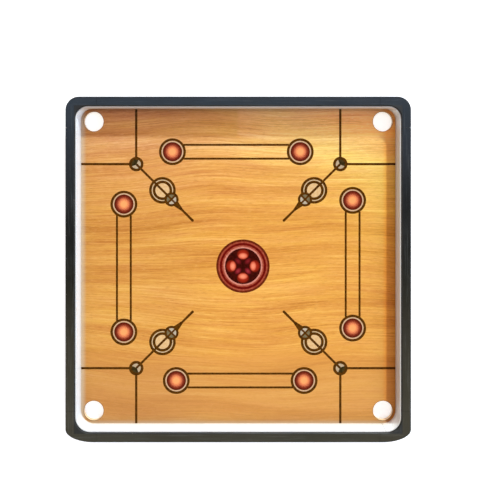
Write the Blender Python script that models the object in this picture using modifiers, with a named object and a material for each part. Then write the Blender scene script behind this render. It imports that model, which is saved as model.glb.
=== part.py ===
"""Carrom board, in metres with +Z up and the origin at the centre of its underside.

A lacquered frame of four rails and four rounded corner blocks, joined by dowels, stands round a
playing board: a printed film on a plywood core, with a pocket through each corner. The board rests
on ledge battens screwed to the rails and on two cross battens. A pale rebound strip lines the inside
of the frame and stands on the board. It is one bent strip, with its butt joint at the front right.
"""

import math

import bmesh
import bpy
from mathutils import Matrix, Vector

# Frame
SIDE = 0.500
HALF = SIDE / 2
FRAME_HEIGHT = 0.033
RAIL_WIDTH = 0.0135
CORNER_LENGTH = 0.045
FRONT_OUTER_REACH = 0.041
FRONT_OUTER_DEPTH = 0.0185
FRONT_INNER_RADIUS = 0.022
BACK_OUTER_RADIUS = 0.0195
BACK_INNER_RADIUS = 0.0185
EDGE_SOFTENING = 0.0011
EDGE_SEGMENTS = 3
CORNER_SEGMENTS = 14

# Fits. A glued joint keeps GLUE_GAP, and a pin keeps BORE_GAP all round it.
GLUE_GAP = 0.0003
BORE_GAP = 0.0003
JOINT_END = HALF - CORNER_LENGTH
INNER_FACE = HALF - RAIL_WIDTH

# Playing board
SURFACE_HEIGHT = 0.012
FILM_THICKNESS = 0.0005
CORE_THICKNESS = 0.004
BOARD_HALF = INNER_FACE - GLUE_GAP
BOARD_CORNER_EXTRA = 0.0005
FILM_BOTTOM = SURFACE_HEIGHT - FILM_THICKNESS
CORE_TOP = FILM_BOTTOM - GLUE_GAP
CORE_BOTTOM = CORE_TOP - CORE_THICKNESS

# Rebound strip
STRIP_THICKNESS = 0.002
STRIP_FACE = INNER_FACE - GLUE_GAP - STRIP_THICKNESS
STRIP_BOTTOM = SURFACE_HEIGHT + GLUE_GAP
STRIP_DROP = 0.002
STRIP_TOP = FRAME_HEIGHT - STRIP_DROP
STRIP_FRONT_RADIUS = 0.020
STRIP_BACK_RADIUS = 0.0165
STRIP_JOINT_GAP = 0.0006
STRIP_EDGE = 0.0004

# Pockets
POCKET_RADIUS = 0.0146
POCKET_INSET = 0.0187
POCKET_SEGMENTS = 48
POCKET_CENTRE = STRIP_FACE - POCKET_INSET

# Battens under the board
BATTEN_WIDTH = 0.018
BATTEN_BOTTOM = 0.0003
BATTEN_TOP = CORE_BOTTOM - GLUE_GAP
BATTEN_HEIGHT = BATTEN_TOP - BATTEN_BOTTOM
BATTEN_EDGE = 0.0006
LEDGE_LENGTH = 0.380
LEDGE_CENTRE = INNER_FACE - GLUE_GAP - BATTEN_WIDTH / 2
CROSS_BATTEN_OFFSET = 0.078
CROSS_BATTEN_LENGTH = 2 * (LEDGE_CENTRE - BATTEN_WIDTH / 2 - GLUE_GAP)

# Dowels, two in each joint between a rail and a corner block
DOWEL_RADIUS = 0.003
DOWEL_LENGTH = 0.028
DOWEL_SIDES = 16
DOWEL_CHAMFER = 0.0006
DOWEL_BORE_SLACK = 0.0005
DOWEL_HEIGHTS = {"lower": 0.009, "upper": 0.024}
DOWEL_LINE = HALF - RAIL_WIDTH / 2

# Countersunk screws through the ledge battens into the rails
SCREW_LENGTH = 0.028
SCREW_HEAD_RADIUS = 0.0027
SCREW_SHANK_RADIUS = 0.0014
SCREW_HEAD_RIM = 0.0003
SCREW_HEAD_DEPTH = 0.0017
SCREW_TIP = 0.004
SCREW_SIDES = 16
SCREW_SUNK = 0.0002
RECESS_DEPTH = 0.0011
RECESS_LENGTH = 0.0030
RECESS_WIDTH = 0.0006
SCREW_SPACING = 0.150
SCREW_HEIGHT = (BATTEN_BOTTOM + BATTEN_TOP) / 2
SCREW_FACE = LEDGE_CENTRE - BATTEN_WIDTH / 2

# Each side of the frame: its name, and the turn about Z that carries the front side onto it
SIDES = {"front": 0, "right": 90, "back": 180, "left": 270}
CORNERS = {
    "front_left": (-1, -1),
    "front_right": (1, -1),
    "back_left": (-1, 1),
    "back_right": (1, 1),
}


# ---------------------------------------------------------------- scene and materials


def clear_scene():
    for obj in list(bpy.data.objects):
        bpy.data.objects.remove(obj)


def new_collection(name):
    collection = bpy.data.collections.new(name)
    bpy.context.scene.collection.children.link(collection)
    return collection


def make_material(name, colour, roughness, metallic=0.0):
    material = bpy.data.materials.new(name)
    material.use_nodes = True
    shader = material.node_tree.nodes["Principled BSDF"]
    shader.inputs["Base Color"].default_value = (*colour, 1.0)
    shader.inputs["Roughness"].default_value = roughness
    shader.inputs["Metallic"].default_value = metallic
    return material


def make_materials():
    return {
        "lacquer": make_material("black_lacquer", (0.020, 0.022, 0.024), 0.35),
        "strip": make_material("white_strip", (0.80, 0.77, 0.72), 0.40),
        "film": make_material("printed_film", (0.72, 0.42, 0.14), 0.15),
        "core": make_material("plywood", (0.56, 0.37, 0.20), 0.75),
        "batten": make_material("pale_softwood", (0.62, 0.45, 0.27), 0.70),
        "dowel": make_material("beech", (0.66, 0.47, 0.30), 0.65),
        "steel": make_material("zinc_plated_steel", (0.62, 0.60, 0.52), 0.35, 1.0),
    }


# ---------------------------------------------------------------- modelling helpers


def add_object(name, mesh, material, place=None):
    """A named part in the board's collection, turned and placed by a matrix."""
    obj = bpy.data.objects.new(name, mesh)
    obj.matrix_world = place or Matrix.Identity(4)
    if not mesh.materials:
        mesh.materials.append(material)
    board.objects.link(obj)
    return obj


def add_cutter(name, mesh):
    cutter = bpy.data.objects.new(name, mesh)
    cutter.display_type = "WIRE"
    cutter.hide_render = True
    cutters.objects.link(cutter)
    return cutter


def finished_mesh(obj, name):
    """The object's evaluated mesh, welded, as a mesh of its own. The object is removed."""
    bpy.context.view_layer.update()
    graph = bpy.context.evaluated_depsgraph_get()
    mesh = bpy.data.meshes.new_from_object(obj.evaluated_get(graph), depsgraph=graph)
    mesh.name = name
    work = bmesh.new()
    work.from_mesh(mesh)
    bmesh.ops.remove_doubles(work, verts=work.verts, dist=1e-6)
    bmesh.ops.dissolve_limit(
        work, angle_limit=math.radians(0.3), verts=work.verts, edges=work.edges
    )
    bmesh.ops.recalc_face_normals(work, faces=work.faces)
    work.to_mesh(mesh)
    work.free()
    bpy.data.objects.remove(obj)
    return mesh


def arc(centre, radius, start, end, segments, depth=None):
    """Points on an arc, both ends included. A depth, the radius along Y, makes it elliptical."""
    depth = depth or radius
    points = []
    for step in range(segments + 1):
        angle = math.radians(start + (end - start) * step / segments)
        points.append(centre + Vector((radius * math.cos(angle), depth * math.sin(angle))))
    return points


def rounded_square(half, front_radius, back_radius):
    """A square with its front and back corners rounded, anticlockwise from the front right."""
    points = []
    turns = ((270, 1, -1), (0, 1, 1), (90, -1, 1), (180, -1, -1))
    for start, sign_x, sign_y in turns:
        radius = front_radius if sign_y < 0 else back_radius
        centre = Vector((sign_x * (half - radius), sign_y * (half - radius)))
        points += arc(centre, radius, start, start + 90, CORNER_SEGMENTS)
    return points


def flat_shape(name, outlines, bottom, top):
    """The mesh of a flat plate between two heights. Outlines inside the first are holes."""
    curve = bpy.data.curves.new(name, "CURVE")
    curve.dimensions = "2D"
    curve.fill_mode = "BOTH"
    curve.extrude = (top - bottom) / 2
    for outline in outlines:
        spline = curve.splines.new("POLY")
        spline.points.add(len(outline) - 1)
        spline.use_cyclic_u = True
        for point, place in zip(spline.points, outline):
            point.co = (place.x, place.y, 0, 1)
    guide = bpy.data.objects.new(name, curve)
    bpy.context.scene.collection.objects.link(guide)
    mesh = finished_mesh(guide, name)
    mesh.transform(Matrix.Translation((0, 0, (bottom + top) / 2)))
    return mesh


def block(name, size):
    """A box of this size about the origin."""
    work = bmesh.new()
    bmesh.ops.create_cube(work, size=1)
    bmesh.ops.scale(work, vec=size, verts=work.verts)
    mesh = bpy.data.meshes.new(name)
    work.to_mesh(mesh)
    work.free()
    return mesh


def turned(name, profile, sides):
    """A profile of (radius, height) points, outer side top to bottom, turned about Z."""
    mesh = bpy.data.meshes.new(name)
    points = [(radius, 0, height) for radius, height in profile]
    mesh.from_pydata(points, [(i, i + 1) for i in range(len(points) - 1)], [])
    lathe = bpy.data.objects.new(name, mesh)
    bpy.context.scene.collection.objects.link(lathe)
    screw = lathe.modifiers.new("turn", "SCREW")
    screw.steps = sides
    screw.render_steps = sides
    screw.use_merge_vertices = True
    screw.merge_threshold = 1e-6
    screw.use_smooth_shade = False
    return finished_mesh(lathe, name)


def join_meshes(name, mesh, places):
    """One mesh holding a copy of the mesh at each place."""
    work = bmesh.new()
    for place in places:
        copy = mesh.copy()
        copy.transform(place)
        work.from_mesh(copy)
        bpy.data.meshes.remove(copy)
    joined = bpy.data.meshes.new(name)
    work.to_mesh(joined)
    work.free()
    return joined


def soften_edges(obj, width, wanted):
    """Rounds the edges that wanted(edge) picks."""
    work = bmesh.new()
    work.from_mesh(obj.data)
    weights = work.edges.layers.float.new("bevel_weight_edge")
    for edge in work.edges:
        edge[weights] = 1.0 if wanted(edge) else 0.0
    work.to_mesh(obj.data)
    work.free()
    bevel = obj.modifiers.new("softened_edges", "BEVEL")
    bevel.limit_method = "WEIGHT"
    bevel.width = width
    bevel.segments = EDGE_SEGMENTS
    return obj


def cut(obj, cutter):
    bite = obj.modifiers.new(cutter.name, "BOOLEAN")
    bite.operation = "DIFFERENCE"
    bite.solver = "EXACT"
    bite.object = cutter


def shade_round(obj, angle=30):
    obj.data.shade_smooth()
    obj.data.set_sharp_from_angle(angle=math.radians(angle))


def turn_to(side):
    """The turn about Z that carries the front side of the frame onto this side."""
    return Matrix.Rotation(math.radians(SIDES[side]), 4, "Z")


# ---------------------------------------------------------------- frame


def is_long_edge(edge):
    """An edge that runs the length of a rail built along X."""
    a, b = edge.verts
    return abs(a.co.x - b.co.x) > RAIL_WIDTH


def is_rim_edge(edge):
    """An edge between a corner block's top or underside and a wall that isn't a glued joint."""
    flat = [face for face in edge.link_faces if abs(face.normal.z) > 0.9]
    walls = [face for face in edge.link_faces if abs(face.normal.z) < 0.1]
    if len(flat) != 1 or len(walls) != 1:
        return False
    middle = walls[0].calc_center_median()
    joint_gap = min(abs(abs(middle.x) - JOINT_END), abs(abs(middle.y) - JOINT_END))
    return joint_gap > GLUE_GAP


def corner_outline(sign_x, sign_y):
    """A corner block seen from above: two short legs, and a rounded corner inside and outside.

    The front blocks are sanded to a longer curve along X than along Y on the outside.
    """
    outer, depth, inner = (
        (FRONT_OUTER_REACH, FRONT_OUTER_DEPTH, FRONT_INNER_RADIUS)
        if sign_y < 0
        else (BACK_OUTER_RADIUS, BACK_OUTER_RADIUS, BACK_INNER_RADIUS)
    )
    outer_centre = Vector((HALF - outer, HALF - depth))
    inner_centre = Vector((INNER_FACE - inner, INNER_FACE - inner))
    points = [Vector((INNER_FACE, JOINT_END)), Vector((HALF, JOINT_END))]
    points += arc(outer_centre, outer, 0, 90, CORNER_SEGMENTS, depth)
    points += [Vector((JOINT_END, HALF)), Vector((JOINT_END, INNER_FACE))]
    points += arc(inner_centre, inner, 90, 0, CORNER_SEGMENTS)
    mirrored = [Vector((sign_x * p.x, sign_y * p.y)) for p in points]
    return mirrored if sign_x * sign_y > 0 else mirrored[::-1]


def make_frame(material):
    size = (2 * (JOINT_END - GLUE_GAP), RAIL_WIDTH, FRAME_HEIGHT)
    centre = Matrix.Translation((0, -DOWEL_LINE, FRAME_HEIGHT / 2))
    frame = []
    for side in SIDES:
        mesh = block(f"frame_rail_{side}", size)
        rail = add_object(mesh.name, mesh, material, turn_to(side) @ centre)
        frame.append(soften_edges(rail, EDGE_SOFTENING, is_long_edge))
    for name, (sign_x, sign_y) in CORNERS.items():
        outline = corner_outline(sign_x, sign_y)
        mesh = flat_shape(f"frame_corner_{name}", [outline], 0, FRAME_HEIGHT)
        corner = add_object(mesh.name, mesh, material)
        frame.append(soften_edges(corner, EDGE_SOFTENING, is_rim_edge))
    return frame


# ---------------------------------------------------------------- dowels


def dowel_places():
    """{name: matrix} of every dowel, its length along the rail that it holds."""
    places = {}
    for side in SIDES:
        for end, sign in (("left", -1), ("right", 1)):
            for level, height in DOWEL_HEIGHTS.items():
                centre = Matrix.Translation((sign * JOINT_END, -DOWEL_LINE, height))
                along = Matrix.Rotation(math.radians(90), 4, "Y")
                places[f"dowel_{side}_rail_{end}_{level}"] = turn_to(side) @ centre @ along
    return places


def dowel_mesh():
    half = DOWEL_LENGTH / 2
    profile = [
        (0, half),
        (DOWEL_RADIUS - DOWEL_CHAMFER, half),
        (DOWEL_RADIUS, half - DOWEL_CHAMFER),
        (DOWEL_RADIUS, DOWEL_CHAMFER - half),
        (DOWEL_RADIUS - DOWEL_CHAMFER, -half),
        (0, -half),
    ]
    return turned("dowel", profile, DOWEL_SIDES)


def dowel_bore_mesh():
    half = DOWEL_LENGTH / 2 + DOWEL_BORE_SLACK
    radius = DOWEL_RADIUS + BORE_GAP
    return turned("dowel_bore", [(0, half), (radius, half), (radius, -half), (0, -half)], DOWEL_SIDES)


def make_dowels(frame, material):
    places = dowel_places()
    mesh = dowel_mesh()
    for name, place in places.items():
        shade_round(add_object(name, mesh, material, place))
    bores = add_cutter("dowel_bores", join_meshes("dowel_bores", dowel_bore_mesh(), places.values()))
    for piece in frame:
        cut(piece, bores)


# ---------------------------------------------------------------- playing board


def pocket_outlines():
    centres = [Vector((x * POCKET_CENTRE, y * POCKET_CENTRE)) for x, y in CORNERS.values()]
    return [arc(c, POCKET_RADIUS, 0, 360, POCKET_SEGMENTS)[:-1] for c in centres]


def make_playing_board(core_material, film_material):
    outline = rounded_square(
        BOARD_HALF,
        FRONT_INNER_RADIUS + BOARD_CORNER_EXTRA,
        BACK_INNER_RADIUS + BOARD_CORNER_EXTRA,
    )
    outlines = [outline, *pocket_outlines()]
    core = flat_shape("playing_board_core", outlines, CORE_BOTTOM, CORE_TOP)
    film = flat_shape("playing_film", outlines, FILM_BOTTOM, SURFACE_HEIGHT)
    add_object(core.name, core, core_material)
    add_object(film.name, film, film_material)


# ---------------------------------------------------------------- rebound strip


def is_strip_top_edge(edge):
    """A long edge along the top of the strip, inside or outside."""
    a, b = edge.verts
    level = abs(a.co.z - STRIP_TOP) < 1e-5 and abs(b.co.z - STRIP_TOP) < 1e-5
    normals = [face.normal.z for face in edge.link_faces]
    return level and max(normals) > 0.9 and min(normals) < 0.1


def strip_path():
    """The strip's inner face seen from above, from one side of its butt joint round to the other."""
    loop = rounded_square(STRIP_FACE, STRIP_FRONT_RADIUS, STRIP_BACK_RADIUS)
    joint = Vector((STRIP_FACE - STRIP_FRONT_RADIUS - STRIP_JOINT_GAP, -STRIP_FACE))
    return [*loop, joint]


def make_rebound_strip(material):
    path = strip_path()
    work = bmesh.new()
    low = [work.verts.new((p.x, p.y, STRIP_BOTTOM)) for p in path]
    line = [work.edges.new(pair) for pair in zip(low, low[1:])]
    raised = bmesh.ops.extrude_edge_only(work, edges=line)["geom"]
    verts = [item for item in raised if isinstance(item, bmesh.types.BMVert)]
    bmesh.ops.translate(work, vec=(0, 0, STRIP_TOP - STRIP_BOTTOM), verts=verts)
    ribbon = bpy.data.meshes.new("strip_ribbon")
    work.to_mesh(ribbon)
    work.free()
    guide = bpy.data.objects.new("strip_ribbon", ribbon)
    bpy.context.scene.collection.objects.link(guide)
    shell = guide.modifiers.new("thickness", "SOLIDIFY")
    shell.thickness = STRIP_THICKNESS
    shell.offset = ribbon_side(ribbon)
    shell.use_even_offset = True
    mesh = finished_mesh(guide, "rebound_strip")
    strip = add_object(mesh.name, mesh, material)
    soften_edges(strip, STRIP_EDGE, is_strip_top_edge)


def ribbon_side(ribbon):
    """Solidify's offset that thickens the ribbon away from the middle of the board."""
    face = ribbon.polygons[0]
    outward = face.normal.dot(Vector((face.center.x, face.center.y, 0)))
    return 1.0 if outward > 0 else -1.0


# ---------------------------------------------------------------- battens and screws


def screw_profile(radius_extra, above, below):
    """Countersunk outline, its head's flat top at height 0. A bore is this with the extras."""
    head = SCREW_HEAD_RADIUS + radius_extra
    shank = SCREW_SHANK_RADIUS + radius_extra
    rim = -SCREW_HEAD_RIM - radius_extra
    return [
        (0, above),
        (head, above),
        (head, rim),
        (shank, -SCREW_HEAD_DEPTH - radius_extra),
        (shank, SCREW_TIP - SCREW_LENGTH - below),
        (0, -SCREW_LENGTH - below),
    ]


def screw_mesh():
    """One screw with a cross recess in its head."""
    body = bpy.data.objects.new("screw_body", turned("screw_body", screw_profile(0, 0, 0), SCREW_SIDES))
    bpy.context.scene.collection.objects.link(body)
    blades = []
    for size in ((RECESS_LENGTH, RECESS_WIDTH), (RECESS_WIDTH, RECESS_LENGTH)):
        blade = add_cutter("recess", block("recess", (*size, 2 * RECESS_DEPTH)))
        cut(body, blade)
        blades.append(blade)
    mesh = finished_mesh(body, "countersunk_screw")
    for blade in blades:
        bpy.data.objects.remove(blade)
    return mesh


def screw_places():
    """{name: matrix} of every screw. Its head is at height 0 of its own frame, and its tip below."""
    places = {}
    for side in SIDES:
        for number, step in enumerate((-1, 0, 1), start=1):
            head = Vector((step * SCREW_SPACING, -SCREW_FACE - SCREW_SUNK, SCREW_HEIGHT))
            outward = Matrix.Rotation(math.radians(-90), 4, "X")
            places[f"ledge_screw_{side}_{number}"] = turn_to(side) @ Matrix.Translation(head) @ outward
    return places


def make_battens(frame, batten_material, steel):
    places = screw_places()
    bore = turned("screw_bore", screw_profile(BORE_GAP, 2 * SCREW_SUNK, BORE_GAP * 3), SCREW_SIDES)
    bores = add_cutter("screw_bores", join_meshes("screw_bores", bore, places.values()))
    middle = BATTEN_BOTTOM + BATTEN_HEIGHT / 2
    for side in SIDES:
        mesh = block(f"ledge_batten_{side}", (LEDGE_LENGTH, BATTEN_WIDTH, BATTEN_HEIGHT))
        place = turn_to(side) @ Matrix.Translation((0, -LEDGE_CENTRE, middle))
        ledge = add_object(mesh.name, mesh, batten_material, place)
        soften_edges(ledge, BATTEN_EDGE, is_long_edge)
        cut(ledge, bores)
    for name, sign in (("front", -1), ("back", 1)):
        mesh = block(f"cross_batten_{name}", (CROSS_BATTEN_LENGTH, BATTEN_WIDTH, BATTEN_HEIGHT))
        place = Matrix.Translation((0, sign * CROSS_BATTEN_OFFSET, middle))
        batten = add_object(mesh.name, mesh, batten_material, place)
        soften_edges(batten, BATTEN_EDGE, is_long_edge)
    mesh = screw_mesh()
    for name, place in places.items():
        shade_round(add_object(name, mesh, steel, place))
    for rail in frame[: len(SIDES)]:
        cut(rail, bores)


# ---------------------------------------------------------------- the board


clear_scene()
board = new_collection("carrom_board")
cutters = new_collection("cutters")
finishes = make_materials()
frame_pieces = make_frame(finishes["lacquer"])
make_dowels(frame_pieces, finishes["dowel"])
make_playing_board(finishes["core"], finishes["film"])
make_rebound_strip(finishes["strip"])
make_battens(frame_pieces, finishes["batten"], finishes["steel"])
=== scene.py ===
"""Looks for the carrom board: materials, printed markings, stage, light and camera.

The markings are thin closed solids of ink on the film. One quarter of the layout is drawn at the
front of the board and repeated by quarter turns.
"""

import math

import bmesh
import bpy
from mathutils import Matrix, Vector


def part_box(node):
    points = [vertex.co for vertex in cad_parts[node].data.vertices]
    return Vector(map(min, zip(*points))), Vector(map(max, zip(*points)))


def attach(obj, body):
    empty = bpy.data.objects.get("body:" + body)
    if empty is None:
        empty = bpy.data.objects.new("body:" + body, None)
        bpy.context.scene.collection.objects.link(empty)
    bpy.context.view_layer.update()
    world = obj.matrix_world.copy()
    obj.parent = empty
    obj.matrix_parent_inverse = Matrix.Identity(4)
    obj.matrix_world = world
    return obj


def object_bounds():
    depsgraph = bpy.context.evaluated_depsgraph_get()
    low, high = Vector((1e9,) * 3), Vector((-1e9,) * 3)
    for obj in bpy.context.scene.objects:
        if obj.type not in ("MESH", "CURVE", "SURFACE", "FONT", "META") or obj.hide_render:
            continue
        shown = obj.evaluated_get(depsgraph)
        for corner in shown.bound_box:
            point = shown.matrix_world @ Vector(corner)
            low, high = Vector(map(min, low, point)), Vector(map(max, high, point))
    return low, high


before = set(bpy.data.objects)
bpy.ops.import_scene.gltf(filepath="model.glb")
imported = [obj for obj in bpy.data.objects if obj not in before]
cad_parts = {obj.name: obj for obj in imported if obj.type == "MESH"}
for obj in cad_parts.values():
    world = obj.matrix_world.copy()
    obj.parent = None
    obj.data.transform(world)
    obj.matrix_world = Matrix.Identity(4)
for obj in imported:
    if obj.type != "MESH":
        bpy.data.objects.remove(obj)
CAD_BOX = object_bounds()
MM = 0.001

# The board. Its faces are read from the frame. The strip and the pockets have the sizes of the CAD.
FILM_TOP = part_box("playing_film")[1].z
RIM_TOP = CAD_BOX[1].z
HALF = CAD_BOX[1].x
INNER_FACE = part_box("frame_rail_right")[0].x
STRIP_LOW, STRIP_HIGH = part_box("rebound_strip")
STRIP_HEIGHTS = (STRIP_LOW.z, STRIP_HIGH.z)
STRIP_THICKNESS = 2 * MM
STRIP_FACE = STRIP_HIGH.x - STRIP_THICKNESS
POCKET_INSET = 18.7 * MM
POCKET_CENTRE = STRIP_FACE - POCKET_INSET
POCKET_RADIUS = 14.6 * MM

# Ink. Each kind of marking has its own top, so that none lies in another's plane.
INK_BOTTOM = FILM_TOP + 0.01 * MM
PALE_TOP = FILM_TOP + 0.05 * MM
LINE_TOP = FILM_TOP + 0.08 * MM
RING_TOP = FILM_TOP + 0.09 * MM
KNOT_DIM_TOP = RING_TOP + 0.003 * MM
KNOT_BRIGHT_TOP = RING_TOP + 0.006 * MM
DETAIL_TOP = FILM_TOP + 0.10 * MM
CROSS_TOP = FILM_TOP + 0.11 * MM
HUB_TOP = FILM_TOP + 0.12 * MM
INK_GAP = 0.02 * MM
CIRCLE_SEGMENTS = 96

# Widths of the lines
CORNER_LINE = 3.4 * MM
BASE_LINE = 3.0 * MM
CROSS_LINE = 2.8 * MM
SHAFT_LINE = 3.3 * MM
INNER_SHAFT_LINE = 3.4 * MM

# Base circles and lines, along the front. The two ends differ, so the layout turns like a pinwheel.
BASE_Y = -170.5 * MM
BASE_ENDS = (-92.4 * MM, 98.1 * MM)
BASE_LINE_OFFSET = 10.3 * MM
BASE_LINE_OVERLAP = 0.4 * MM
BASE_RING = (16.3 * MM, 20.0 * MM)
BASE_DISC_RADIUS = 14.4 * MM

# Corner arrows, as distances from the centre of the board along a diagonal
DIAGONAL = math.sqrt(2)
CORNER_CIRCLE = 152.1 * MM * DIAGONAL
CORNER_RING = (6.8 * MM, 10.8 * MM)
WEDGE_ANGLE = math.radians(144)
WEDGE_POINT = CORNER_CIRCLE - 0.15 * CORNER_RING[0]
SHAFT_END = CORNER_CIRCLE - 0.1 * CORNER_RING[0]
DOUBLE_RING = 113.0 * MM * DIAGONAL
DOUBLE_OUTER = (16.0 * MM, 19.8 * MM)
DOUBLE_INNER = (10.5 * MM, 14.5 * MM)
SMALL_RING = 99.5 * MM * DIAGONAL
SMALL_RADII = (7.1 * MM, 10.6 * MM)
SPIKE_WIDE_END = SMALL_RING - SMALL_RADII[0]
SPIKE_SHOULDER = SMALL_RING - 23 * MM
SPIKE_TIP = 68.0 * MM * DIAGONAL
SPIKE_HALF_WIDTHS = (5.0 * MM, 1.6 * MM, 1.9 * MM)

# Centre rosette, a little to the right of the middle. The radii of its rings are in millimetres.
ROSETTE_CENTRE = Vector((7.0, 0)) * MM
ROSETTE_RINGS = (
    ("outline", "ink_brown", 36.7, 39.8),
    ("rose_outer", "ink_rose", 34.5, 36.68),
    ("dark_red", "ink_dark_red", 31.2, 34.48),
    ("rose_inner", "ink_rose", 29.1, 31.18),
    ("pink", "ink_pink", 26.7, 29.08),
)
ROSETTE_FIELD_RADIUS = 26.68 * MM
LOBE_HALO = (17.3 * MM, (9.7 * MM, 8.6 * MM))
LOBE_CORE = (15.3 * MM, (7.3 * MM, 4.8 * MM))
PETAL = (10.4 * MM, (4.4 * MM, 6.4 * MM))
HUB_RADIUS = 3.4 * MM

# Finish of the print. Each tint multiplies its colour, from not at all to fully between two places
# on the board, in metres, along a direction that film_material names. Most tints are painted light:
# a painted sheen and painted reflections, paler and bluer towards the back, right and front, and
# painted shade where the back and right walls shade the board and at their feet. The board is also
# darker towards the left and the front. The shade of the back wall ends at SHADE_EDGE, and its
# painted shade is browner over its left half. The grain turns faint between two places towards the
# front, by an amount.
PRINT_SPECULAR = 0.20
INK_SPECULAR = 0.04
OAK_MEAN = (0.76, 0.325, 0.065)
FAINT_GRAIN = (0.09, 0.16, 0.5)
DIAGONAL_SLOPE = (0.8, 1.4)
SHADE_EDGE = 0.193
PAINTED_LIGHT_TINTS = (
    # Painted sheen towards the back right, and painted reflections that turn the back and front bluer
    ("diagonal", 0.14, 0.40, (1.12, 1.38, 1.30)),
    ("back", 0.04, 0.20, (1.04, 1.04, 1.40)),
    ("front_and_back", 0.12, 0.24, (1.00, 1.01, 1.16)),
    ("diagonal", 0.27, 0.36, (1.02, 1.13, 1.15)),
    # Darker towards the left and the front
    ("left", 0.01, 0.13, (0.91, 0.90, 0.98)),
    ("front", 0.130, 0.165, (0.92, 0.91, 0.97)),
    # Painted reflection, bluer towards the back
    ("back", 0.15, 0.20, (0.99, 1.04, 1.22)),
    # Painted shade: the right wall's shade, the back wall's shade and its back right corner
    ("right", 0.213, 0.222, (1.02, 0.80, 0.58)),
    ("back_left", SHADE_EDGE - 4 * MM, SHADE_EDGE + 4 * MM, (0.99, 0.85, 0.57)),
    ("back_right", SHADE_EDGE - 4 * MM, SHADE_EDGE + 4 * MM, (1.11, 0.96, 0.86)),
    ("back", 0.208, 0.228, (0.93, 0.79, 0.90)),
    ("diagonal", 0.36, 0.46, (1.16, 1.02, 1.00)),
    # Painted shade at the feet of the right and back walls
    ("right", STRIP_FACE - 4 * MM, STRIP_FACE, (0.86, 0.88, 1.00)),
    ("back", STRIP_FACE - 5 * MM, STRIP_FACE - 1 * MM, (0.76, 0.80, 0.90)),
)
# Painted light that the sunlit left and front strips throw on the board: side, reach, amount
PAINTED_BOUNCE_LIGHT = (("left", 9 * MM, 0.60), ("front", 6 * MM, 0.45))
PAINTED_BOUNCE_COLOUR = (0.80, 0.66, 0.46)
# Painted shadow in a thin ring round each pocket
POCKET_SHADOW_WIDTH = 1.6 * MM
POCKET_SHADOW_COLOUR = (0.20, 0.12, 0.05)

# Camera, looking straight down from above a point behind the middle of the board
CAMERA_ABOVE_RIM = 0.650
CAMERA_X = 0.0011
CAMERA_Y = 0.1587
CAMERA_LENS = 33.9
CAMERA_SHIFT_Y = -0.166

# Sun, from the back and a little from the right, low enough to shade the board by the back wall
SUN_FROM = Vector((15, 45, 21))
SUN_STRENGTH = 3.12
SUN_ANGLE = math.radians(3.0)
SUN_COLOUR = (0.87, 1.0, 0.98)

# Sky. The ceiling is seen in the gloss, as bands across Y, and the walls light the board's sides.
SKY_STRENGTH = 2.0
CEILING = (
    (-0.60, (0.60, 0.56, 0.40)),
    (-0.45, (0.69, 0.62, 0.44)),
    (-0.34, (0.48, 0.42, 0.28)),
    (-0.22, (0.08, 0.08, 0.07)),
    (-0.06, (0.11, 0.12, 0.15)),
    (0.05, (0.36, 0.44, 0.59)),
    (0.18, (0.43, 0.64, 0.92)),
    (0.36, (0.46, 0.33, 0.30)),
)
WALL_FRONT = (0.05, 0.05, 0.05)
WALL_BACK = (0.42, 0.24, 0.20)
WALL_LEFT = (0.05, 0.05, 0.05)
WALL_RIGHT = (0.80, 1.00, 1.42)
BACKDROP = (0.49, 0.49, 0.49)
FLOOR_COLOUR = (0.86, 0.86, 0.86, 1.0)
FLOOR_HALF = 30.0
FLOOR_GAP = 0.2 * MM
FLOOR_GLOW = 0.62


# ---------------------------------------------------------------- materials


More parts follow.
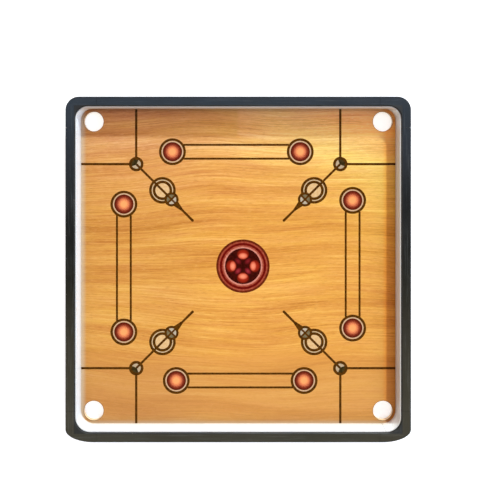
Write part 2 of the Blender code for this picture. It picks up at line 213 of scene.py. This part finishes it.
class Shader:
    """A new node material, with short calls for the nodes that it is made of."""

    def __init__(self, name, roughness, specular=0.5, metallic=0.0):
        self.material = bpy.data.materials.new(name)
        self.material.use_nodes = True
        self.tree = self.material.node_tree
        self.out = self.tree.nodes["Principled BSDF"]
        self.out.inputs["Roughness"].default_value = roughness
        self.out.inputs["Specular IOR Level"].default_value = specular
        self.out.inputs["Metallic"].default_value = metallic
        self.place = self.node("ShaderNodeTexCoord").outputs["Object"]

    def node(self, kind, **settings):
        node = self.tree.nodes.new(kind)
        for key, value in settings.items():
            setattr(node, key, value)
        return node

    def link(self, source, target):
        self.tree.links.new(source, target)

    def feed(self, socket, value):
        """Links a socket to an output, or sets it to a plain value."""
        if isinstance(value, bpy.types.NodeSocket):
            self.link(value, socket)
        else:
            socket.default_value = value

    def math(self, operation, a, b=0.0):
        node = self.node("ShaderNodeMath", operation=operation)
        self.feed(node.inputs[0], a)
        self.feed(node.inputs[1], b)
        return node.outputs[0]

    def times(self, a, b):
        return self.math("MULTIPLY", a, b)

    def noise(self, scale, detail=4.0, roughness=0.55, distortion=0.0, offset=(0, 0, 0)):
        """Noise with its own number of cells per metre along each axis."""
        mapping = self.node("ShaderNodeMapping")
        mapping.inputs["Scale"].default_value = scale
        mapping.inputs["Location"].default_value = offset
        self.link(self.place, mapping.inputs["Vector"])
        noise = self.node("ShaderNodeTexNoise")
        noise.inputs["Scale"].default_value = 1.0
        noise.inputs["Detail"].default_value = detail
        noise.inputs["Roughness"].default_value = roughness
        noise.inputs["Distortion"].default_value = distortion
        self.link(mapping.outputs["Vector"], noise.inputs["Vector"])
        return noise.outputs["Fac"]

    def ramp(self, value, *stops):
        """A colour ramp through (position, colour) stops."""
        ramp = self.node("ShaderNodeValToRGB")
        elements = ramp.color_ramp.elements
        while len(elements) < len(stops):
            elements.new(0.5)
        for element, (position, colour) in zip(elements, stops):
            element.position = position
            element.color = (*colour, 1.0)
        self.link(value, ramp.inputs["Fac"])
        return ramp.outputs["Color"]

    def mix(self, factor, a, b, blend="MIX"):
        node = self.node("ShaderNodeMix", data_type="RGBA", blend_type=blend)
        self.feed(node.inputs[0], factor)
        self.feed(node.inputs[6], a if isinstance(a, bpy.types.NodeSocket) else (*a, 1.0))
        self.feed(node.inputs[7], b if isinstance(b, bpy.types.NodeSocket) else (*b, 1.0))
        return node.outputs[2]

    def step(self, value, low, high):
        """0 below low, 1 above high, smooth between."""
        node = self.node("ShaderNodeMapRange", interpolation_type="SMOOTHSTEP")
        self.link(value, node.inputs["Value"])
        node.inputs["From Min"].default_value = low
        node.inputs["From Max"].default_value = high
        return node.outputs["Result"]

    def fall(self, value, low, high):
        """1 below low, 0 above high, smooth between."""
        return self.math("SUBTRACT", 1.0, self.step(value, low, high))

    def spread(self, value, low, high):
        """Rescales noise to lie between two values."""
        node = self.node("ShaderNodeMapRange")
        self.link(value, node.inputs["Value"])
        node.inputs["From Min"].default_value = 0.3
        node.inputs["From Max"].default_value = 0.7
        node.inputs["To Min"].default_value = low
        node.inputs["To Max"].default_value = high
        return node.outputs["Result"]

    def axes(self):
        split = self.node("ShaderNodeSeparateXYZ")
        self.link(self.place, split.inputs[0])
        return split.outputs

    def sway(self, reach, cells):
        """Bends what is drawn after this, such as grain along X, by up to this far along Y."""
        x, y, z = self.axes()
        shift = self.spread(self.noise(cells, detail=1.0), -reach, reach)
        bent = self.node("ShaderNodeCombineXYZ")
        self.link(x, bent.inputs["X"])
        self.link(self.math("ADD", y, shift), bent.inputs["Y"])
        self.link(z, bent.inputs["Z"])
        self.place = bent.outputs["Vector"]

    def bump(self, height, distance):
        bump = self.node("ShaderNodeBump")
        bump.inputs["Distance"].default_value = distance
        self.link(height, bump.inputs["Height"])
        self.link(bump.outputs["Normal"], self.out.inputs["Normal"])

    def colour(self, value):
        self.feed(self.out.inputs["Base Color"], value)

    def roughness(self, value):
        self.feed(self.out.inputs["Roughness"], value)


def gloss_ripple(shader):
    """The faint unevenness of a varnished print."""
    shader.bump(shader.noise((60, 90, 60), detail=3), 0.00002)
    shader.roughness(shader.spread(shader.noise((30, 45, 30)), 0.22, 0.34))


def oak_colour(shader):
    """Oak with its grain along X: streaks over broad bands, a drifting hue, pores and pale flecks."""
    streaks = shader.noise((9, 620, 9), detail=6, roughness=0.74, distortion=0.4)
    bands = shader.noise((3, 42, 3), detail=3, distortion=0.6, offset=(3, 1, 0))
    wood = shader.ramp(
        shader.math("ADD", shader.times(streaks, 0.62), shader.times(bands, 0.38)),
        (0.375, (0.55, 0.187, 0.028)),
        (0.465, (0.72, 0.283, 0.053)),
        (0.535, (0.81, 0.355, 0.071)),
        (0.615, (0.92, 0.461, 0.115)),
    )
    hue = shader.spread(shader.noise((14, 120, 14), detail=4, offset=(4, 8, 0)), 0.0, 1.0)
    wood = shader.mix(hue, wood, shader.mix(1.0, wood, (1.03, 1.11, 0.88), "MULTIPLY"))
    pores = shader.noise((90, 820, 90), detail=3, roughness=0.7, offset=(7, 2, 0))
    wood = shader.mix(shader.times(shader.step(pores, 0.53, 0.70), 0.45), wood, (0.48, 0.165, 0.027))
    return shader.mix(shader.times(shader.fall(pores, 0.32, 0.46), 0.32), wood, (1.00, 0.58, 0.16))


def film_material():
    """The printed film: oak with painted sheen, reflections, shade, strip light and pocket shadows.

    The grain is fainter towards the front.
    """
    shader = Shader("printed_wood", 0.28, specular=PRINT_SPECULAR)
    x, y, _ = shader.axes()
    across, along = shader.math("ABSOLUTE", x), shader.math("ABSOLUTE", y)
    slope_x, slope_y = DIAGONAL_SLOPE
    places = {
        "right": x,
        "back": y,
        "left": shader.times(x, -1.0),
        "front": shader.times(y, -1.0),
        "front_and_back": along,
        "diagonal": shader.math("ADD", shader.times(x, slope_x), shader.times(y, slope_y)),
        "back_left": shader.math("MINIMUM", y, shader.math("SUBTRACT", SHADE_EDGE, x)),
        "back_right": shader.math("MINIMUM", y, shader.math("ADD", SHADE_EDGE, x)),
    }
    shader.sway(0.016, (2.6, 2.6, 2.6))
    wood = oak_colour(shader)
    low, high, amount = FAINT_GRAIN
    faint = shader.times(shader.step(places["front"], low, high), amount)
    wood = shader.mix(faint, wood, OAK_MEAN)
    # Painted sheen, painted reflections and painted shade, multiplied into the oak
    for place, low, high, tint in PAINTED_LIGHT_TINTS:
        wood = shader.mix(shader.step(places[place], low, high), wood, tint, "MULTIPLY")
    # Painted light thrown on the board next to the sunlit left and front strips
    for place, reach, amount in PAINTED_BOUNCE_LIGHT:
        bounce_light = shader.times(shader.step(places[place], STRIP_FACE - reach, STRIP_FACE), amount)
        wood = shader.mix(bounce_light, wood, PAINTED_BOUNCE_COLOUR)
    # Painted shadow in a thin ring round each pocket, where the film's cut edge is in shade
    to_pocket = [shader.math("SUBTRACT", side, POCKET_CENTRE) for side in (across, along)]
    squares = [shader.math("POWER", side, 2) for side in to_pocket]
    from_pocket = shader.math("SQRT", shader.math("ADD", *squares))
    rim = shader.fall(from_pocket, POCKET_RADIUS, POCKET_RADIUS + POCKET_SHADOW_WIDTH)
    shader.colour(shader.mix(shader.times(rim, 0.65), wood, POCKET_SHADOW_COLOUR))
    gloss_ripple(shader)
    return shader.material


def lacquer_material():
    """Black lacquer, brushed on. It is scratched along the rails and chipped along the inner edge."""
    shader = Shader("black_lacquer_worn", 0.3)
    x, y, z = shader.axes()
    across, along = shader.math("ABSOLUTE", x), shader.math("ABSOLUTE", y)
    cloud = shader.noise((14, 14, 30), detail=5)
    base = shader.ramp(cloud, (0.30, (0.003, 0.003, 0.002)), (0.70, (0.012, 0.012, 0.010)))
    strokes_x = shader.noise((16, 420, 420), detail=5, roughness=0.65, offset=(1, 7, 0))
    strokes_y = shader.noise((420, 16, 420), detail=5, roughness=0.65, offset=(7, 1, 0))
    on_side_rail = shader.step(shader.math("SUBTRACT", across, along), -4 * MM, 4 * MM)
    strokes = shader.mix(on_side_rail, strokes_x, strokes_y)
    base = shader.mix(shader.step(strokes, 0.50, 0.70), base, (0.030, 0.030, 0.028))

    scratches_x = shader.step(shader.noise((12, 700, 700), detail=4), 0.68, 0.74)
    scratches_y = shader.step(shader.noise((700, 12, 700), detail=4, offset=(5, 5, 0)), 0.68, 0.74)
    patches = shader.step(shader.noise((11, 11, 11), offset=(2, 9, 1)), 0.52, 0.66)
    scratches = shader.times(shader.math("MAXIMUM", scratches_x, scratches_y), patches)
    worn = shader.mix(shader.times(scratches, 0.30), base, (0.30, 0.30, 0.29))

    reach = shader.math("MAXIMUM", across, along)
    near_inner = shader.fall(reach, INNER_FACE + 0.3 * MM, INNER_FACE + 1.2 * MM)
    near_outer = shader.step(reach, HALF - 0.9 * MM, HALF - 0.1 * MM)
    near_top = shader.step(z, RIM_TOP - 2.2 * MM, RIM_TOP - 0.9 * MM)
    near_edge = shader.times(shader.math("MAXIMUM", near_inner, near_outer), near_top)
    worn_stretches = shader.step(shader.noise((9, 9, 9), offset=(6, 3, 8)), 0.46, 0.62)
    limit = shader.math("SUBTRACT", 0.74, shader.times(worn_stretches, 0.10))
    spots = shader.noise((120, 120, 220), detail=6, roughness=0.7)
    chips = shader.times(near_edge, shader.step(shader.math("SUBTRACT", spots, limit), 0.0, 0.03))
    shader.colour(shader.mix(chips, worn, (0.32, 0.28, 0.22)))

    shine = shader.spread(shader.noise((25, 25, 25), offset=(1, 4, 2)), 0.13, 0.25)
    rubbed = shader.math("ADD", shader.times(chips, 0.35), shader.times(near_inner, 0.35))
    shader.roughness(shader.math("ADD", shine, rubbed))
    brushed = shader.math("ADD", shader.noise((70, 70, 70), detail=3), shader.times(strokes, 0.5))
    shader.bump(shader.math("SUBTRACT", brushed, shader.times(chips, 2.0)), 0.00012)
    return shader.material


def strip_material():
    """White plastic edging, warmer and darker towards its foot and a little grubby there.

    Its top is darkened by dust and painted shade, and the back and right strips by painted shade.
    """
    shader = Shader("white_edging", 0.4)
    x, y, z = shader.axes()
    low, high = STRIP_HEIGHTS
    clean = (0.3, (0.88, 0.93, 0.95)), (0.7, (0.93, 0.97, 0.98))
    tone = shader.ramp(shader.noise((18, 18, 60)), *clean)
    # Warmer and darker over the lower part of the strip
    warm_low = shader.fall(z, low, low + 0.45 * (high - low))
    tone = shader.mix(shader.times(warm_low, 0.50), tone, (0.66, 0.46, 0.28))
    foot = shader.fall(z, low, low + 0.3 * (high - low))
    marks = shader.step(shader.noise((45, 45, 90), detail=5), 0.45, 0.70)
    tone = shader.mix(shader.times(shader.times(foot, marks), 0.16), tone, (0.42, 0.36, 0.28))
    # Painted shade on the back and right strips, which face away from the light
    for place, tint in ((y, (0.80, 0.66, 0.54)), (x, (0.86, 0.82, 0.78))):
        shaded_side = shader.step(place, STRIP_FACE - 6 * MM, STRIP_FACE - 1 * MM)
        tone = shader.mix(shaded_side, tone, tint, "MULTIPLY")
    # Dust and painted shade darken the top of the strip
    dust_and_shade = shader.step(z, high - 0.20 * MM, high - 0.05 * MM)
    shader.colour(shader.mix(shader.times(dust_and_shade, 0.50), tone, (0.52, 0.44, 0.38)))
    shader.roughness(shader.spread(shader.noise((60, 60, 200)), 0.32, 0.48))
    shader.bump(shader.noise((30, 30, 400), detail=2), 0.00005)
    return shader.material


def bare_wood_material(name, dark, pale, cells):
    """Unfinished timber or plywood, with its grain along the axis that has the fewest cells."""
    shader = Shader(name, 0.7)
    rings = shader.noise(cells, detail=6, roughness=0.6, distortion=0.8)
    palest = tuple(1.12 * channel for channel in pale)
    shader.colour(shader.ramp(rings, (0.32, dark), (0.52, pale), (0.75, palest)))
    fibre = shader.noise(tuple(4 * count for count in cells), detail=4)
    shader.roughness(shader.spread(fibre, 0.60, 0.82))
    shader.bump(fibre, 0.0001)
    return shader.material


def steel_material():
    shader = Shader("zinc_plate", 0.35, metallic=1.0)
    spangle = shader.noise((900, 900, 900), detail=4)
    shader.colour(shader.ramp(spangle, (0.3, (0.50, 0.48, 0.42)), (0.7, (0.70, 0.68, 0.62))))
    shader.roughness(shader.spread(spangle, 0.28, 0.48))
    shader.bump(spangle, 0.00001)
    return shader.material


def ink_material(name, dark, pale):
    """Ink of one colour, mottled a little as halftone print is."""
    shader = Shader(name, 0.28, specular=INK_SPECULAR)
    mottle = shader.noise((260, 260, 260), detail=5)
    shader.colour(shader.ramp(mottle, (0.34, dark), (0.66, pale)))
    gloss_ripple(shader)
    return shader.material


def glowing_ink_material(name, *stops):
    """Ink shaded from the middle of a unit disc to its rim."""
    shader = Shader(name, 0.28, specular=INK_SPECULAR)
    x, y, _ = shader.axes()
    square = shader.math("ADD", shader.math("POWER", x, 2), shader.math("POWER", y, 2))
    wobble = shader.spread(shader.noise((9, 9, 9), detail=4), -0.08, 0.08)
    radius = shader.math("ADD", shader.math("SQRT", square), wobble)
    shader.colour(shader.ramp(radius, *stops))
    shader.roughness(shader.spread(shader.noise((5, 5, 5)), 0.22, 0.34))
    return shader.material


def make_inks():
    plain = {
        "ink_black": ((0.050, 0.016, 0.0006), (0.130, 0.042, 0.0012)),
        "ink_brown": ((0.100, 0.009, 0.002), (0.170, 0.022, 0.005)),
        "ink_night": ((0.026, 0.0012, 0.0005), (0.064, 0.004, 0.0015)),
        "ink_olive": ((0.022, 0.014, 0.002), (0.070, 0.042, 0.010)),
        "ink_pale": ((0.60, 0.35, 0.18), (0.72, 0.45, 0.26)),
        "ink_sand": ((0.60, 0.40, 0.20), (0.72, 0.50, 0.28)),
        "ink_grey": ((0.43, 0.30, 0.17), (0.58, 0.43, 0.27)),
        "ink_dim": ((0.12, 0.090, 0.040), (0.24, 0.180, 0.090)),
        "ink_bright": ((0.42, 0.34, 0.23), (0.56, 0.46, 0.33)),
        "ink_tint": ((0.70, 0.41, 0.17), (0.80, 0.52, 0.25)),
        "ink_rose": ((0.30, 0.034, 0.016), (0.42, 0.085, 0.042)),
        "ink_pink": ((0.55, 0.160, 0.110), (0.71, 0.265, 0.185)),
        "ink_dark_red": ((0.110, 0.002, 0.001), (0.190, 0.005, 0.002)),
    }
    glowing = {
        "ink_disc": (
            (0.28, (1.00, 0.37, 0.120)),
            (0.50, (0.72, 0.18, 0.070)),
            (0.70, (0.26, 0.036, 0.014)),
            (0.86, (0.125, 0.010, 0.003)),
            (0.98, (0.100, 0.014, 0.003)),
        ),
        "ink_lobe_halo": (
            (0.30, (0.42, 0.024, 0.008)),
            (0.70, (0.27, 0.014, 0.004)),
            (1.00, (0.050, 0.003, 0.001)),
        ),
        "ink_lobe_core": (
            (0.30, (0.92, 0.26, 0.140)),
            (0.70, (0.74, 0.14, 0.065)),
            (1.00, (0.34, 0.022, 0.010)),
        ),
        "ink_petal": (
            (0.15, (0.34, 0.028, 0.034)),
            (0.60, (0.190, 0.008, 0.012)),
            (0.98, (0.045, 0.003, 0.002)),
        ),
        "ink_petal_dark": (
            (0.15, (0.21, 0.012, 0.014)),
            (0.60, (0.130, 0.005, 0.006)),
            (0.98, (0.045, 0.003, 0.002)),
        ),
    }
    inks = {name: ink_material(name, *colours) for name, colours in plain.items()}
    inks.update({name: glowing_ink_material(name, *stops) for name, stops in glowing.items()})
    return inks


# ---------------------------------------------------------------- shapes


def circle(radius, centre=Vector((0, 0)), segments=CIRCLE_SEGMENTS, start=0.0, turn=2 * math.pi):
    """Points on a circle or an arc, anticlockwise. An arc keeps both its ends."""
    closed = turn == 2 * math.pi
    count = segments if closed else segments + 1
    angles = [start + turn * step / segments for step in range(count)]
    return [centre + radius * Vector((math.cos(a), math.sin(a))) for a in angles]


def plate(outline, bottom, top, hole=None):
    """A flat solid with this outline. A hole has as many points as the outline."""
    work = bmesh.new()
    count = len(outline)
    loops = {}
    for name, points, height in (
        ("outer_low", outline, bottom),
        ("outer_high", outline, top),
        ("inner_low", hole or [], bottom),
        ("inner_high", hole or [], top),
    ):
        loops[name] = [work.verts.new((p.x, p.y, height)) for p in points]

    def band(first, second):
        for step in range(count):
            after = (step + 1) % count
            work.faces.new((first[step], first[after], second[after], second[step]))

    band(loops["outer_low"], loops["outer_high"])
    if hole:
        band(loops["outer_high"], loops["inner_high"])
        band(loops["inner_high"], loops["inner_low"])
        band(loops["inner_low"], loops["outer_low"])
    else:
        work.faces.new(loops["outer_high"])
        work.faces.new(loops["outer_low"][::-1])
    bmesh.ops.recalc_face_normals(work, faces=work.faces)
    mesh = bpy.data.meshes.new("ink")
    work.to_mesh(mesh)
    work.free()
    return mesh


def ring(centre, radii, top):
    inner, outer = radii
    return plate(circle(outer, centre), INK_BOTTOM, top, hole=circle(inner, centre))


def bar(start, end, width, top):
    """A straight line of ink."""
    along = (end - start).normalized()
    across = Vector((-along.y, along.x)) * width / 2
    return plate([start - across, end - across, end + across, start + across], INK_BOTTOM, top)


def piece(name, mesh, material, place=None):
    """A marking on the board, which takes its finish from the printed film."""
    obj = bpy.data.objects.new(name, mesh)
    obj.matrix_world = place or Matrix.Identity(4)
    mesh.materials.clear()
    mesh.materials.append(material)
    bpy.context.scene.collection.objects.link(obj)
    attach(obj, "root")


def soft_disc(name, half_size, centre, angle, top, material):
    """A shaded ellipse. Its mesh is a unit disc, so that its shading runs from 0 to 1."""
    mesh = plate(circle(1.0), 0, top - INK_BOTTOM)
    place = Matrix.Translation((centre.x, centre.y, INK_BOTTOM))
    place = place @ Matrix.Rotation(angle, 4, "Z") @ Matrix.Diagonal((*half_size, 1, 1))
    piece(name, mesh, material, place)


# ---------------------------------------------------------------- markings


def base_markings(side, turn, inks):
    """The base of one player: two lines, with a ringed red disc at each end."""
    quarter = turn.to_2x2()
    ends = [Vector((x, BASE_Y)) for x in BASE_ENDS]
    reach = math.sqrt(BASE_RING[1] ** 2 - BASE_LINE_OFFSET**2) - BASE_LINE_OVERLAP
    for name, offset in (("inner", BASE_LINE_OFFSET), ("outer", -BASE_LINE_OFFSET)):
        start = ends[0] + Vector((reach, offset))
        end = ends[1] + Vector((-reach, offset))
        line = bar(start, end, BASE_LINE, LINE_TOP)
        piece(f"base_line_{side}_{name}", line, inks["ink_black"], turn)
    for name, centre in zip(("left", "right"), ends):
        pale = (BASE_DISC_RADIUS + INK_GAP, BASE_RING[0] - INK_GAP)
        piece(f"base_ring_{side}_{name}", ring(centre, BASE_RING, RING_TOP), inks["ink_black"], turn)
        piece(f"base_halo_{side}_{name}", ring(centre, pale, PALE_TOP), inks["ink_pale"], turn)
        middle = quarter @ centre
        size = (BASE_DISC_RADIUS, BASE_DISC_RADIUS)
        soft_disc(f"base_disc_{side}_{name}", size, middle, 0, PALE_TOP, inks["ink_disc"])


def arrow_markings(corner, turn, inks):
    """The lines and arrow of one corner, drawn along +X and turned onto a diagonal."""
    along = turn @ Matrix.Rotation(math.radians(-135), 4, "Z")

    def add(name, mesh, ink):
        piece(f"{name}_{corner}", mesh, inks[ink], along)

    def at(distance):
        return Vector((distance, 0))

    # Corner circle, with a dark sector that opens towards the corner of the board
    rim = circle(CORNER_RING[0], at(CORNER_CIRCLE), 24, start=-WEDGE_ANGLE / 2, turn=WEDGE_ANGLE)
    wedge = [at(WEDGE_POINT)] + rim
    add("corner_ring", ring(at(CORNER_CIRCLE), CORNER_RING, RING_TOP), "ink_black")
    fill = plate(circle(CORNER_RING[0], at(CORNER_CIRCLE)), INK_BOTTOM, PALE_TOP)
    add("corner_fill", fill, "ink_grey")
    add("corner_wedge", plate(wedge, INK_BOTTOM, LINE_TOP), "ink_olive")

    # Shaft, from the corner circle through the double ring
    shaft_joint = at(DOUBLE_RING + DOUBLE_INNER[0])
    add("arrow_shaft", bar(shaft_joint, at(SHAFT_END), SHAFT_LINE, LINE_TOP), "ink_black")
    inner_shaft = bar(at(SMALL_RING), shaft_joint, INNER_SHAFT_LINE, LINE_TOP)
    add("arrow_inner_shaft", inner_shaft, "ink_black")

    # Double ring and its pale fills
    gap = (DOUBLE_INNER[1] + INK_GAP, DOUBLE_OUTER[0] - INK_GAP)
    add("double_ring_outer", ring(at(DOUBLE_RING), DOUBLE_OUTER, RING_TOP), "ink_black")
    add("double_ring_inner", ring(at(DOUBLE_RING), DOUBLE_INNER, RING_TOP), "ink_black")
    add("double_ring_gap", ring(at(DOUBLE_RING), gap, PALE_TOP), "ink_sand")
    tint = plate(circle(DOUBLE_INNER[0], at(DOUBLE_RING)), INK_BOTTOM, PALE_TOP)
    add("double_ring_fill", tint, "ink_tint")

    # Small ring with a cross in it, over the edge of the double ring. It is dim on that side.
    knot, knot_radius = at(SMALL_RING), SMALL_RADII[0]
    add("arrow_knot", ring(knot, SMALL_RADII, DETAIL_TOP), "ink_black")
    whole = circle(knot_radius, knot, 64)
    add("arrow_knot_fill", plate(whole, INK_BOTTOM, KNOT_DIM_TOP), "ink_dim")
    bright_half = circle(knot_radius, knot, 32, start=math.pi / 2, turn=math.pi)
    add("arrow_knot_bright", plate(bright_half, INK_BOTTOM, KNOT_BRIGHT_TOP), "ink_bright")
    for name, arm, top in (("a", Vector((1, 0)), DETAIL_TOP), ("b", Vector((0, 1)), CROSS_TOP)):
        reach = arm * knot_radius
        add(f"arrow_cross_{name}", bar(knot - reach, knot + reach, CROSS_LINE, top), "ink_black")

    # Spike, wide at the knot and drawn out to a blunt tip
    wide, narrow, tip = SPIKE_HALF_WIDTHS
    spike = [
        Vector((SPIKE_WIDE_END, -wide)),
        Vector((SPIKE_WIDE_END, wide)),
        Vector((SPIKE_SHOULDER, narrow)),
        *circle(tip, at(SPIKE_TIP), 10, start=math.pi / 2, turn=math.pi),
        Vector((SPIKE_SHOULDER, -narrow)),
    ]
    add("arrow_spike", plate(spike, INK_BOTTOM, LINE_TOP), "ink_black")


def corner_lines(corner, turn, inks):
    """Two lines from a corner circle to the walls, drawn at the front left."""
    place = CORNER_CIRCLE / DIAGONAL
    stop = place + CORNER_RING[0]
    for name, start, end in (
        ("across", Vector((-STRIP_FACE, -place)), Vector((-stop, -place))),
        ("along", Vector((-place, -STRIP_FACE)), Vector((-place, -stop))),
    ):
        line = bar(start, end, CORNER_LINE, LINE_TOP)
        piece(f"corner_line_{name}_{corner}", line, inks["ink_black"], turn)


def rosette(inks):
    """Four lobes and four petals in a ringed disc."""
    for name, ink, inner, outer in ROSETTE_RINGS:
        band = ring(ROSETTE_CENTRE, (inner * MM, outer * MM), RING_TOP)
        piece(f"rosette_{name}", band, inks[ink])
    field = plate(circle(ROSETTE_FIELD_RADIUS, ROSETTE_CENTRE), INK_BOTTOM, LINE_TOP)
    piece("rosette_field", field, inks["ink_night"])
    for step in range(4):
        petal_ink = "ink_petal" if step in (1, 2) else "ink_petal_dark"
        for name, (distance, size), ink, degrees, top in (
            ("halo", LOBE_HALO, "ink_lobe_halo", 90 * step, RING_TOP),
            ("lobe", LOBE_CORE, "ink_lobe_core", 90 * step, CROSS_TOP),
            ("petal", PETAL, petal_ink, 90 * step + 45, DETAIL_TOP),
        ):
            angle = math.radians(degrees)
            outward = Vector((-math.sin(angle), math.cos(angle)))
            centre = ROSETTE_CENTRE + outward * distance
            soft_disc(f"rosette_{name}_{step + 1}", size, centre, angle, top, inks[ink])
    hub = plate(circle(HUB_RADIUS, ROSETTE_CENTRE, 48), INK_BOTTOM, HUB_TOP)
    piece("rosette_hub", hub, inks["ink_night"])


def make_markings():
    inks = make_inks()
    sides = ("front", "right", "back", "left")
    corners = ("front_left", "front_right", "back_right", "back_left")
    for step, (side, corner) in enumerate(zip(sides, corners)):
        turn = Matrix.Rotation(math.radians(90 * step), 4, "Z")
        base_markings(side, turn, inks)
        arrow_markings(corner, turn, inks)
        corner_lines(corner, turn, inks)
    rosette(inks)


# ---------------------------------------------------------------- board, stage, light and camera


def finish_board():
    """Gives each part of the frame its material, by the start of its name."""
    pine = (0.50, 0.31, 0.15), (0.72, 0.52, 0.31)
    along_x = bare_wood_material("pine_along_x", *pine, (5, 130, 130))
    along_y = bare_wood_material("pine_along_y", *pine, (130, 5, 130))
    plywood = bare_wood_material("plywood", (0.56, 0.36, 0.19), (0.74, 0.53, 0.32), (4, 60, 200))
    beech = bare_wood_material("beech_dowel", (0.52, 0.34, 0.19), (0.68, 0.48, 0.30), (160, 160, 160))
    looks = {
        "frame_": lacquer_material(),
        "playing_film": film_material(),
        "playing_board_core": plywood,
        "rebound_strip": strip_material(),
        "ledge_batten_front": along_x,
        "ledge_batten_back": along_x,
        "ledge_batten_left": along_y,
        "ledge_batten_right": along_y,
        "cross_batten": along_x,
        "dowel_": beech,
        "ledge_screw": steel_material(),
    }
    for name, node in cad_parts.items():
        material = next(look for start, look in looks.items() if name.startswith(start))
        for slot in node.material_slots:
            slot.material = material
    # The light that the sunlit strip would throw on the print is left out: it washes out the front
    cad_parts["rebound_strip"].visible_diffuse = False


def make_stage():
    mesh = bpy.data.meshes.new("floor")
    corners = ((-1, -1), (1, -1), (1, 1), (-1, 1))
    places = [(x * FLOOR_HALF, y * FLOOR_HALF, -FLOOR_GAP) for x, y in corners]
    mesh.from_pydata(places, [], [(0, 1, 2, 3)])
    floor = bpy.data.objects.new("floor", mesh)
    bpy.context.scene.collection.objects.link(floor)
    shader = Shader("studio_floor", 0.9)
    shader.colour(FLOOR_COLOUR)
    shader.out.inputs["Emission Color"].default_value = (1, 1, 1, 1)
    shader.out.inputs["Emission Strength"].default_value = FLOOR_GLOW
    mesh.materials.append(shader.material)


def make_light():
    data = bpy.data.lights.new("key", "SUN")
    data.energy = SUN_STRENGTH
    data.angle = SUN_ANGLE
    data.color = SUN_COLOUR
    key = bpy.data.objects.new("key", data)
    key.rotation_mode = "QUATERNION"
    key.rotation_quaternion = SUN_FROM.to_track_quat("Z", "Y")
    bpy.context.scene.collection.objects.link(key)
    world = bpy.data.worlds.new("studio")
    world.use_nodes = True
    paint_sky(world.node_tree)
    bpy.context.scene.world = world


def paint_sky(tree):
    """A ceiling with bands across Y, over walls lit at the back and right, over a pale backdrop."""

    def node(kind, **settings):
        made = tree.nodes.new(kind)
        for key, value in settings.items():
            setattr(made, key, value)
        return made

    def fade(value, low, high, interpolation="SMOOTHSTEP"):
        made = node("ShaderNodeMapRange", interpolation_type=interpolation)
        tree.links.new(value, made.inputs["Value"])
        made.inputs["From Min"].default_value = low
        made.inputs["From Max"].default_value = high
        return made.outputs["Result"]

    def blend(factor, a, b):
        made = node("ShaderNodeMix", data_type="RGBA")
        tree.links.new(factor, made.inputs[0])
        for socket, value in ((made.inputs[6], a), (made.inputs[7], b)):
            if isinstance(value, bpy.types.NodeSocket):
                tree.links.new(value, socket)
            else:
                socket.default_value = (*value, 1.0)
        return made.outputs[2]

    direction = node("ShaderNodeTexCoord").outputs["Generated"]
    split = node("ShaderNodeSeparateXYZ")
    tree.links.new(direction, split.inputs[0])
    along_x, along_y, up = split.outputs

    ceiling = node("ShaderNodeValToRGB")
    elements = ceiling.color_ramp.elements
    while len(elements) < len(CEILING):
        elements.new(0.5)
    for element, (place, colour) in zip(elements, CEILING):
        element.position = (place + 1) / 2
        element.color = (*colour, 1.0)
    tree.links.new(fade(along_y, -1.0, 1.0, "LINEAR"), ceiling.inputs["Fac"])

    walls = blend(fade(along_y, -0.5, 0.5), WALL_FRONT, WALL_BACK)
    walls = blend(fade(along_x, -0.8, -0.3), WALL_LEFT, walls)
    walls = blend(fade(along_x, 0.3, 0.7), walls, WALL_RIGHT)
    walls = blend(fade(up, 0.29, 0.42), BACKDROP, walls)
    colour = blend(fade(up, 0.60, 0.80), walls, ceiling.outputs["Color"])
    tree.links.new(colour, tree.nodes["Background"].inputs["Color"])
    tree.nodes["Background"].inputs["Strength"].default_value = SKY_STRENGTH


def make_camera():
    data = bpy.data.cameras.new("camera")
    data.lens = CAMERA_LENS
    data.shift_y = CAMERA_SHIFT_Y
    camera = bpy.data.objects.new("camera", data)
    camera.location = (CAMERA_X, CAMERA_Y, RIM_TOP + CAMERA_ABOVE_RIM)
    bpy.context.scene.collection.objects.link(camera)
    bpy.context.scene.camera = camera
    bpy.context.scene.view_settings.view_transform = "Standard"


make_camera()
make_light()
make_stage()
finish_board()
make_markings()

bpy.context.view_layer.update()
